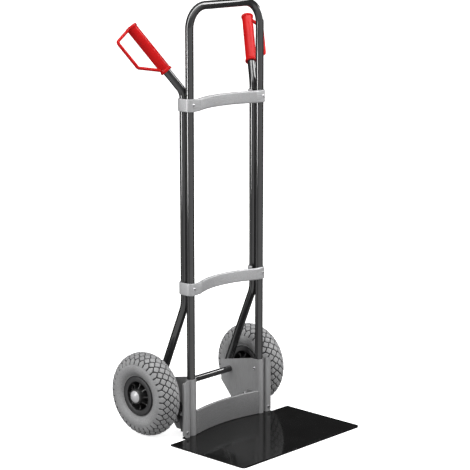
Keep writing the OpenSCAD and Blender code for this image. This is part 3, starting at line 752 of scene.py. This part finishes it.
# the cheek nuts and bolts take the darker zinc, as painted shade
nuts = Part()
for lo, hi in islands("cheek_nuts"):
    hexagon_nut(nuts, outward(lo, hi), 7.5, 6.5, 4.05)
piece("cheek_nut_set", nuts, SHADED_ZINC, "frame", "cheek_nuts")
bolts = Part()
button_head = [(0, 0.9), (2.3, 0.9), (2.5, 0), (4.2, 0), (5.8, 0.8), (6.8, 2.1), (7.0, 2.8),
               (6.8, 3.0), (0, 3.0)]
for lo, hi in islands("cheek_bolts"):
    bolts.add(*lathe(button_head, 32), outward(lo, hi))
    threaded(bolts, outward(lo, hi), 4.0, 2.9, hi[0] - lo[0])
piece("cheek_bolt_set", bolts, SHADED_ZINC, "frame", "cheek_bolts")


# ---------- Axle ----------

lo, hi = mm_box("axle")
axle_r, groove_r, chamfer = 10, 9.6, 1.2
clip_in, clip_out = wheel_x + 36.0, wheel_x + 37.4
shaft = [(0, lo[0]), (axle_r - chamfer, lo[0]), (axle_r, lo[0] + chamfer)]
for a, b in ((-clip_out, -clip_in), (clip_in, clip_out)):
    shaft += [(axle_r, a - 0.05), (groove_r, a + 0.05), (groove_r, b - 0.05), (axle_r, b + 0.05)]
shaft += [(axle_r, hi[0] - chamfer), (axle_r - chamfer, hi[0]), (0, hi[0])]
axle_matrix = along((0, axle_y, axle_z), (1, 0, 0))
piece("axle_shaft", Part().add(*lathe(shaft, 56), axle_matrix), TUBE, "frame", "axle")
for label, side in SIDES:
    keep_node(f"axle_spacer_{label}", CHEEK, 0.6)
    keep_node(f"axle_washer_{label}", ZINC, 0.3, 2)
    keep_node(f"axle_clip_{label}", ZINC, 0.25, 2)


# ---------- Wheels ----------

RIBS, RIM_BOLTS, RIM_BOLT_TURN, RIM_BOLT_RING = 8, 4, 22.5, 34
HUB_END_OUTER, HUB_END_INNER, BEARING_SEAT = 46, 37.5, 26.5
VALVE_TURN, VALVE_FROM, VALVE_RISE, VALVE_LEAN = 67.5, 55, 6, -48


def wheel_matrix(side):
    """Local +Z outwards along the axle, from the wheel's middle plane."""
    place = Matrix.Translation((side * wheel_x, axle_y, axle_z))
    return place @ Matrix.Rotation(side * math.pi / 2, 4, "Y")


def lift(z):
    return Matrix.Translation((0, 0, z))


def spun(degrees, radius=0, z=0):
    """Turned about the wheel's axis, then moved out from it."""
    turn = Matrix.Rotation(math.radians(degrees), 4, "Z")
    return turn @ Matrix.Translation((radius, 0, z))


def smooth(t):
    t = np.clip(t, 0, 1)
    return t * t * (3 - 2 * t)


def tyre_mesh(side):
    """Tyre with rows of staggered blocks, shoulder lugs, a plain sidewall and an open inside.

    Each point of the tread belongs to the nearest block centre. The groove is deep where the
    nearest two centres are about as far away, and its width grows towards the shoulders.
    """
    blocks, per_block = 34, 20
    nt = blocks * per_block
    theta = np.arange(nt) * 2 * np.pi / nt
    u = theta / (2 * np.pi) * blocks
    row_step, pitch, row = 19.0, 24.0, 14.1
    lug_end, groove_d = 74.5, 3.4
    phi = np.radians(np.linspace(-lug_end - 3, lug_end + 3, 136))
    v = np.degrees(phi) / row_step
    uu, vv = np.meshgrid(u, v, indexing="xy")
    best = np.full(uu.shape, 1e9)
    second = np.full(uu.shape, 1e9)
    for j in range(-3, 4):
        off = 0.5 * (abs(j) % 2)
        for k in (-1, 0, 1):
            du = (np.floor(uu - off) + off + 0.5 + k) - uu
            d = np.hypot(du * pitch, (vv - j) * row)
            second = np.where(d < best, best, np.minimum(second, d))
            best = np.minimum(best, d)
    edge = (second - best) / 2
    deg = np.abs(np.degrees(phi))[:, None]
    open_end = 1 - smooth((deg - (lug_end - 1.5)) / 2.5)
    half_gap = 0.8 + 0.9 * smooth((deg - 40) / 22)
    shaded_groove = (1 - smooth((edge - half_gap) / 1.0)) * open_end
    crown = 0.35 * (1 - smooth((edge - 1.0) / 3.0)) * open_end
    step = 0.9 * smooth((deg - lug_end + 0.8) / 1.6)
    rho = tyre_sec_r - shaded_groove * groove_d - crown - step
    rad = tyre_ring_r + rho * np.cos(phi)[:, None]
    z = rho * np.sin(phi)[:, None]

    def section(radius, turn, out=0.0):
        a = math.radians(turn)
        return tyre_ring_r + radius * math.cos(a), radius * math.sin(a) + out

    def hoops(values):
        return np.repeat(np.array(values)[:, None], nt, 1)

    wall = [section(41.7, turn, out)
            for turn, out in ((78, 0.15), (80.5, 0.3), (83.5, 0.5), (87, 0.65), (90, 0.7))]
    wall += [(84, 42.2), (80, 41.5), (76.5, 40.4), (73.4, 38.9), (70.8, 37.1), (68.6, 35.2),
             (66.9, 33.4), (65.8, 32.0), (65.0, 31.2), (64.0, 30.95), (62.0, 30.9), (57.7, 30.9),
             (57.6, 29.5), (57.6, 21.5)]
    inside = [section(36.5, turn) for turn in range(144, -1, -9)]
    upper = wall + inside[:-1]
    lower = [(r, -h) for r, h in wall + inside][::-1]
    rings_r = np.concatenate([hoops([r for r, h in lower]), rad, hoops([r for r, h in upper])])
    rings_z = np.concatenate([hoops([h for r, h in lower]), z, hoops([h for r, h in upper])])
    # the groove amount over the tread, zero elsewhere, is kept on the mesh for the rubber's painted
    # shade
    depth = np.concatenate([np.zeros((len(lower), nt)), shaded_groove, np.zeros((len(upper), nt))])
    co = np.stack([rings_r * np.cos(theta), rings_r * np.sin(theta), rings_z], -1).reshape(-1, 3)
    m = np.array(wheel_matrix(side))
    co = (co @ m[:3, :3].T + m[:3, 3]) * MM
    rows = len(rings_r)
    i, j = np.meshgrid(np.arange(rows), np.arange(nt), indexing="ij")
    i2, j2 = (i + 1) % rows, (j + 1) % nt
    quads = np.stack([i * nt + j, i * nt + j2, i2 * nt + j2, i2 * nt + j], -1).reshape(-1, 4)
    me = bpy.data.meshes.new("tyre")
    me.vertices.add(len(co))
    me.vertices.foreach_set("co", co.astype(np.float32).ravel())
    me.loops.add(quads.size)
    me.loops.foreach_set("vertex_index", quads.ravel().astype(np.int32))
    me.polygons.add(len(quads))
    me.polygons.foreach_set("loop_start", np.arange(0, quads.size, 4, dtype=np.int32))
    me.update(calc_edges=True)
    me.validate()
    a = me.attributes.new("shaded_groove", "FLOAT", "POINT")
    a.data.foreach_set("value", depth.ravel().astype(np.float32))
    me.shade_smooth()
    return me


def bolt_places(matrix):
    return [matrix @ spun(RIM_BOLT_TURN + i * 360 / RIM_BOLTS, RIM_BOLT_RING)
            for i in range(RIM_BOLTS)]


# From the hub out: web, pocket wall, flat ring, step, bead lip, and the drum behind them
POCKET_R = 44.6
RIM_SECTION = [
    (23.4, 20), (24.0, 7.5), (24.8, 5.2), (26.6, 4.1), (41.0, 4.1), (43.0, 4.6), (44.0, 6.4),
    (44.5, 32.4), (44.8, 33.7), (45.4, 34.6), (46.6, 35.0), (51.5, 35.0), (57.4, 35.0),
    (58.6, 34.7), (59.2, 34.0), (59.4, 31.6), (60.4, 31.4), (60.9, 33.0), (61.3, 33.8),
    (61.9, 34.0), (62.3, 33.6), (62.5, 32.8), (62.5, 31.6), (62.0, 31.1), (57.5, 31.0),
    (57.5, 17.0), (49.0, 10.0), (49.0, 0.3)]


def rim_part(matrix, hub_end):
    """Half of the rim, its hub running out to hub_end. Everything within POCKET_R is slot 1, the
    darker plastic that paints shade into the pocket.
    """
    part = Part()
    hub = [(13.2, 0.3), (13.0, 26.2), (13.4, BEARING_SEAT), (16.0, BEARING_SEAT), (16.0, 33.5),
           (18.5, 33.5), (18.5, hub_end - 0.5), (18.9, hub_end - 0.1), (21.6, hub_end),
           (22.5, hub_end - 0.3), (23.0, hub_end - 1.1)]
    verts, faces = lathe(hub + RIM_SECTION, 128)
    # faces deep in the pocket take the darker plastic, as painted shade
    deep = [all(math.hypot(*verts[i][:2]) < POCKET_R for i in f) for f in faces]
    part.add(verts, [f for f, d in zip(faces, deep) if not d], matrix)
    part.add(verts, [f for f, d in zip(faces, deep) if d], matrix, slot=1)
    foot, edge = 3.6, 1.0
    tops = [(22.6, 32.5), (25, 31.5), (28, 28.4), (32, 25.4), (36, 24.2), (40, 24.8), (43, 27.0),
            (44.9, 29.5)]
    rib = []
    for r, top in tops:
        t = 2.0 + 0.9 * max(0.0, (27 - r) / 5) + 0.8 * max(0.0, (r - 41) / 4)
        half = [(r, t - edge, top), (r, t - 0.35, top - 0.3), (r, t, top - edge), (r, t, foot)]
        rib += [(x, -y, z) for x, y, z in half[::-1]] + half
    rib_faces = grid_faces(len(tops), 8) + end_faces(len(tops), 8)
    for i in range(RIBS):
        part.add(rib, rib_faces, matrix @ spun(i * 360 / RIBS), slot=1)
    boss = [(3.4, 3.8), (8.4, 3.8), (8.0, 5.0), (7.2, 5.4), (3.4, 5.4)]
    for place in bolt_places(matrix):
        part.add(*lathe(boss, 32), place, slot=1)
    return part


def bearing_part(matrix):
    """Outer and inner ring with the dark seal between them."""
    outer = [(13.9, 0.5), (14.3, 0), (15.5, 0), (15.9, 0.5), (15.9, 6.5), (15.5, 7), (14.3, 7),
             (13.9, 6.5)]
    inner = [(10.1, 0.4), (10.5, 0), (11.6, 0), (11.9, 0.4), (11.9, 6.6), (11.6, 7), (10.5, 7),
             (10.1, 6.6)]
    seal = [(11.8, 0.7), (14.0, 0.7), (14.0, 6.3), (11.8, 6.3)]
    part = Part().add(*lathe(outer, 64), matrix)
    part.add(*lathe(inner, 64), matrix)
    return part.add(*lathe(seal, 64), matrix, slot=1)


def cap_part(matrix):
    """Domed hub cap, hollow, with a skirt that stands in the hub's seat."""
    top, side_z, r, wall, steps = 53.0, 46.5, 18.45, 1.4, 14
    rise = top - side_z
    dome = (r * r + rise * rise) / (2 * rise)
    limit = math.asin((r - 1.0) / dome)

    def arch(radius, squeeze, turns):
        return [(radius * math.sin(limit * k / steps) * squeeze,
                 top - dome + radius * math.cos(limit * k / steps)) for k in turns]

    skin = arch(dome, 1.0, range(steps + 1))
    edge = skin[-1][1]
    skirt = [(r - 0.5, edge - 0.6), (r - 0.05, edge - 1.5), (r, 44.0), (r, 37.6), (r, 34.2),
             (r - 0.5, 33.7), (r - 1.3, 33.7)]
    inner = arch(dome - wall, 0.98, range(steps, -1, -1))
    return Part().add(*lathe(skin + skirt + inner, 96), matrix)


def valve_part(matrix):
    """Rubber stem, metal neck and knurled dust cap."""
    stem = [(0, 1.5), (3.9, 1.5), (3.9, 9), (3.6, 13.5), (3.2, 15.5), (2.6, 16.2), (0, 16.2)]
    neck = [(0, 15.8), (2.2, 15.8), (2.2, 19.2), (0, 19.2)]
    part = Part().add(*lathe(stem, 32), matrix)
    part.add(*lathe(neck, 24), matrix, slot=1)
    segs, knurl, verts = 48, 0.22, []
    for z, r in ((19, 2.6), (19.3, 3.1), (25.8, 3.1), (26.6, 2.7), (27, 2.0)):
        for j in range(segs):
            q = r - (knurl if j % 4 < 2 and 19.2 < z < 26 else 0)
            verts.append(polar(q, j, segs, z))
    return part.add(verts, grid_faces(5, segs) + end_faces(5, segs), matrix)


def wheel_piece(node, label, ending, part, mats):
    """A piece of one wheel, named after the CAD node it stands for."""
    name = f"{node}_{label}"
    piece(f"{name}_{ending}", part, mats, f"wheel_{label}", name)


for label, side in SIDES:
    m, turned = wheel_matrix(side), Matrix.Rotation(math.pi, 4, "X")
    halves = (("outer", m, HUB_END_OUTER), ("inner", m @ turned, HUB_END_INNER))
    wheel_piece("tyre", label, "tread", tyre_mesh(side), TYRE)
    keep_node(f"inner_tube_{label}", TUBE_RUBBER)
    for half, matrix, hub_end in halves:
        rim = rim_part(matrix, hub_end)
        wheel_piece(f"rim_{half}", label, "moulding", rim, [RIM, POCKET_SHADE])
    heads, back_nuts = Part(), Part()
    for place in bolt_places(m):
        hexagon_nut(heads, place @ lift(5.4), 5.5, 3.6, 0)
        threaded(heads, place @ turned, 3.0, -5.5, 11.0, 1.0)
        hexagon_nut(back_nuts, place @ lift(-9.8), 5.5, 4.4, 3.05)
    wheel_piece("rim_bolts", label, "set", heads, ZINC)
    wheel_piece("rim_nuts", label, "set", back_nuts, ZINC)
    for half, matrix, _ in halves:
        rings = bearing_part(matrix @ lift(BEARING_SEAT))
        wheel_piece(f"bearing_{half}", label, "rings", rings, [STEEL, BLACK])
    wheel_piece("hub_cap", label, "dome", cap_part(m), CAP)
    stem = (m @ spun(VALVE_TURN, VALVE_FROM, VALVE_RISE)
            @ Matrix.Rotation(math.radians(VALVE_LEAN), 4, "Y"))
    wheel_piece("valve", label, "stem", valve_part(stem), [TUBE_RUBBER, STEEL])


# ---------- Floor, light and camera, in metres ----------

# The camera is pitched, not shifted; its place and lens were fitted to the photo
CAM_AZ, CAM_PITCH = math.radians(46.95), math.radians(11.973)
CAM_AT = Vector((-3.80441, -3.59384 + upright_y * MM, 1.71562))
CAM_LENS, CAM_SENSOR = 133.97, 36.0
fwd = Vector((math.sin(CAM_AZ), math.cos(CAM_AZ), 0))
right = Vector((math.cos(CAM_AZ), -math.sin(CAM_AZ), 0))

FLOOR_GLOW, FLOOR_WHITE, BOUNCE = 0.80, 0.80, 0.34
FLOOR_HALF, FLOOR_Z, BOUNCE_Z = 60, -0.0004, -0.003
LOW_SKY, HIGH_SKY, ZENITH = 1.15, 0.50, 2.2


def staged(name, verts, faces, mat):
    """An object of the studio, not of the truck."""
    me = bpy.data.meshes.new(name)
    me.from_pydata([tuple(v) for v in verts], [], faces)
    me.materials.append(mat)
    o = linked(name, me)
    return o


def aim(o, where, target):
    """Places an object with its -Z towards the target."""
    o.location = where
    o.rotation_euler = (Vector(target) - Vector(where)).to_track_quat("-Z", "Y").to_euler()


def plane(name, z, shade, **values):
    """Level square of a faintly clouded matt grey."""
    n = Nodes(name + "_matt")
    n.set(Roughness=0.9, Specular_IOR_Level=0.1, **values)
    n.finish(n.ramp(n.noise(3, 2), [(0.3, (shade,) * 3), (0.7, (shade + 0.02,) * 3)]))
    cells = 8
    spots = [(i / cells * 2 - 1) * FLOOR_HALF for i in range(cells + 1)]
    verts = [(x, y, z) for x in spots for y in spots]
    return staged(name, verts, grid_faces(cells + 1, cells + 1, loop_cols=False), n.mat)


def floor():
    """White floor for the camera, over a greyer one that sends soft light back up."""
    o = plane("floor", FLOOR_Z, FLOOR_WHITE,
              Emission_Color=rgb(1, 1, 1), Emission_Strength=FLOOR_GLOW)
    o.visible_glossy = o.visible_diffuse = o.visible_shadow = False
    o = plane("bounce", BOUNCE_Z, BOUNCE)
    o.visible_glossy = o.visible_camera = False


def area(name, where, target, size, power):
    """Soft lamp that lights surfaces but isn't mirrored in them."""
    light = bpy.data.lights.new(name, "AREA")
    light.shape = "RECTANGLE"
    light.size, light.size_y = size
    light.energy = power
    o = linked(name, light)
    aim(o, where, target)
    o.visible_glossy = False


def glow(name, strength):
    """Plain white emission."""
    mat = bpy.data.materials.new(name)
    mat.use_nodes = True
    t = mat.node_tree
    t.nodes.clear()
    out = t.nodes.new("ShaderNodeOutputMaterial")
    shine = t.nodes.new("ShaderNodeEmission")
    shine.inputs["Strength"].default_value = strength
    t.links.new(shine.outputs["Emission"], out.inputs["Surface"])
    return mat


def shining(name, verts, faces, mat):
    """A studio object that sends no light on to the truck's matt surfaces."""
    o = staged(name, verts, faces, mat)
    o.visible_diffuse = o.visible_shadow = o.visible_transmission = False
    return o


def backdrop(radius):
    """White dome behind everything, for the camera only."""
    rings, segs, below = 12, 48, 0.3
    climb = [math.pi / 2 * 0.999 * k / rings for k in range(rings + 1)]
    verts = [polar(radius * math.cos(e), j, segs, radius * math.sin(e) - below)
             for e in climb for j in range(segs)]
    o = shining("backdrop", verts, grid_faces(rings + 1, segs), glow("backdrop_white", 1.0))
    o.visible_glossy = False


def card(name, where, target, size, strength):
    """Glowing panel seen only in reflections."""
    verts = [((i - 1) * size[0], (j - 1) * size[1], 0) for i in range(3) for j in range(3)]
    o = shining(name, verts, grid_faces(3, 3, loop_cols=False), glow(name + "_glow", strength))
    aim(o, where, target)
    o.visible_camera = False


def light_arc(name, distance, width, strength, upper):
    """Strip light, seen only in reflections, set where the camera sees it mirrored in the hoop.

    The lower one draws a thin line up the frame's outer side. The upper one carries the line
    on round the bend and along the top tube. b is how far the tube has turned at a spot.
    """
    start, fade_in = 0.70, 0.22
    off_side, off_change = 0.52, 0.20
    bend, quarter = HOOP_BEND_R * MM, math.pi / 2
    x, y, top = -upright_x * MM, upright_y * MM, hoop_h * MM
    spots = [(Vector((x, y, z)), 0.0) for z in np.linspace(start, top, 14)]
    if upper:
        spots = [(Vector((x + bend * (1 - math.cos(b)), y, top - bend * (1 - math.sin(b)))), b)
                 for b in np.radians(np.linspace(0, 84, 15))]
        spots += [(Vector((k, y, top)), quarter) for k in np.linspace(x + bend, -x - bend, 8)]
    path = []
    for at, b in spots:
        view = (at - CAM_AT).normalized()
        axis = Vector((math.sin(b), 0, math.cos(b)))
        facing = (-view + axis * view.dot(axis)).normalized()
        side = axis.cross(facing)
        if side.dot(Vector((-math.cos(b), 0, math.sin(b)))) < 0:
            side = -side
        off = off_side - off_change * b / quarter
        n = facing * math.sqrt(1 - off * off) + side * off
        wide = width * (1 + 0.3 * b) * min(1.0, 0.1 + (at.z - start) / fade_in)
        path.append((at, at + (view - 2 * view.dot(n) * n) * distance, wide))
    verts = []
    for k, (at, p, wide) in enumerate(path):
        ahead = path[min(k + 1, len(path) - 1)][1] - path[max(k - 1, 0)][1]
        across = ahead.cross(p - at).normalized() * (wide / 2)
        verts += [p - across, p + across]
    faces = [[2 * k, 2 * k + 1, 2 * k + 3, 2 * k + 2] for k in range(len(path) - 1)]
    o = shining(name, verts, faces, glow(name + "_glow", strength))
    o.visible_camera = False


def around(angle, distance, height):
    """A place round the truck, by its angle from the camera's side to the picture's left."""
    a = math.radians(angle)
    p = -fwd * (math.cos(a) * distance) - right * (math.sin(a) * distance)
    return (p.x, p.y, height)


def world():
    """Light by direction: bright below and overhead, dark behind the truck and in a gap at left."""
    w = bpy.data.worlds.new("studio")
    bpy.context.scene.world = w
    w.use_nodes = True
    t = w.node_tree
    t.nodes.clear()
    out = t.nodes.new("ShaderNodeOutputWorld")
    bg = t.nodes.new("ShaderNodeBackground")
    coord = t.nodes.new("ShaderNodeTexCoord")

    def towards(direction, lo, hi, a, b):
        d = t.nodes.new("ShaderNodeVectorMath")
        d.operation = "DOT_PRODUCT"
        d.inputs[1].default_value = direction
        m = t.nodes.new("ShaderNodeMapRange")
        m.interpolation_type = "SMOOTHSTEP"
        for k, v in (("From Min", lo), ("From Max", hi), ("To Min", a), ("To Max", b)):
            m.inputs[k].default_value = v
        t.links.new(coord.outputs["Generated"], d.inputs[0])
        t.links.new(d.outputs["Value"], m.inputs["Value"])
        return m.outputs["Result"]

    def times(a, b):
        m = t.nodes.new("ShaderNodeMath")
        m.operation = "MULTIPLY"
        t.links.new(a, m.inputs[0])
        t.links.new(b, m.inputs[1])
        return m.outputs["Value"]

    gap = math.radians(42)
    gap_dir = -fwd * math.cos(gap) - right * math.sin(gap)
    level = towards((0, 0, 1), -0.03, 0.03, LOW_SKY, HIGH_SKY)
    over = towards((0, 0, 1), 0.45, 0.80, 1.0, ZENITH / HIGH_SKY)
    back = towards(fwd, -0.22, 0.12, 1.0, 0.06)
    dark = towards(gap_dir, 0.91, 0.97, 1.0, 0.28)
    t.links.new(times(times(level, over), times(back, dark)), bg.inputs["Strength"])
    t.links.new(bg.outputs["Background"], out.inputs["Surface"])
    bg.inputs["Color"].default_value = rgb(1, 1, 1)


floor()
world()
area("key_left", around(80, 3.0, 1.6), (0, 0, 0.5), (1.2, 2.4), 27)
area("fill_right", around(-75, 3.2, 1.7), (0, 0, 0.5), (1.6, 2.4), 56)
area("softbox_top", around(30, 0.8, 4.2), (0, 0, 0.6), (2.6, 2.6), 18)
area("fill_back", around(175, 3.4, 2.0), (0, 0, 0.6), (2.4, 2.4), 55)
light_arc("strip_side", 3.0, 0.50, 34.0, False)
light_arc("strip_top", 3.0, 0.80, 12.0, True)
card("axle_card", (1.35, -0.32 + upright_y * MM, 1.30), (0, 0.15, 0.13), (0.30, 0.16), 16.0)
backdrop(55)

cam = bpy.data.cameras.new("camera")
cam.lens, cam.sensor_width, cam.clip_end = CAM_LENS, CAM_SENSOR, 200.0
cam_obj = linked("camera", cam)
cam_obj.location = CAM_AT
cam_obj.rotation_euler = (math.pi / 2 - CAM_PITCH, 0, -CAM_AZ)
bpy.context.scene.camera = cam_obj
bpy.context.scene.view_settings.view_transform = "Standard"
